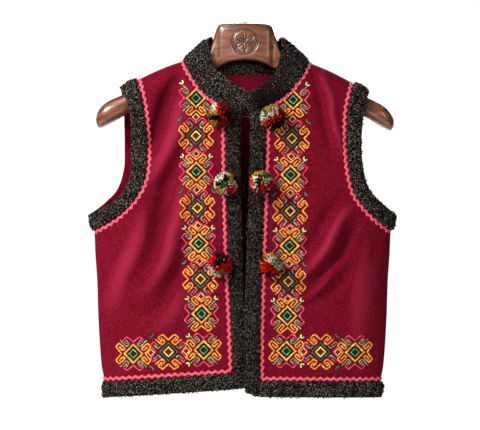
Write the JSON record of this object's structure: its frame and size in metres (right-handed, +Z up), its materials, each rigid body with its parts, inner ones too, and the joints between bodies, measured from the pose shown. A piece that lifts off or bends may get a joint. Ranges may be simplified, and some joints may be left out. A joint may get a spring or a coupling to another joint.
{
  "type": "embroidered folk vest on a wooden hanger",
  "caption": "Sleeveless wool folk vest with boucle-bound edges, stand collar, wavy braid and pompoms, hanging on a contoured wooden hanger.",
  "frame": {"origin": "the hook's socket, in the middle of the hanger's top", "axes": "+Z up, the front faces -Y, +X towards the wearer's left"},
  "size_m": [0.4615, 0.1147, 0.5627],
  "materials": {
    "wool": "matt fulled wool cloth",
    "boucle": "looped boucle",
    "braid": "woven rick-rack",
    "pompom_wool": "cut yarn",
    "wood": "stained and lacquered",
    "brass": "dull",
    "wire": "blackened wire"
  },
  "bodies": {
    "root": {"front_panel_right": "wool", "front_panel_left": "wool", "back_panel": "wool", "collar": "boucle", "front_band_right": "boucle", "front_band_left": "boucle", "hem_band_right": "boucle", "hem_band_left": "boucle", "hem_band_back": "boucle", "armhole_band_right_front": "boucle", "armhole_band_left_front": "boucle", "armhole_band_right_back": "boucle", "armhole_band_left_back": "boucle", "braid_right_front": "braid", "braid_left_front": "braid", "braid_back_hem": "braid", "braid_back_neck": "braid", "braid_right_armhole": "braid", "braid_left_armhole": "braid", "braid_right_back_armhole": "braid", "braid_left_back_armhole": "braid", "pompom_right_top": "pompom_wool", "pompom_left_top": "pompom_wool", "pompom_right_middle": "pompom_wool", "pompom_left_middle": "pompom_wool", "pompom_right_lower": "pompom_wool", "pompom_left_lower": "pompom_wool", "neck_hook": "wire", "hanger": "wood", "hook_socket": "brass"}
  },
  "joints": []
}
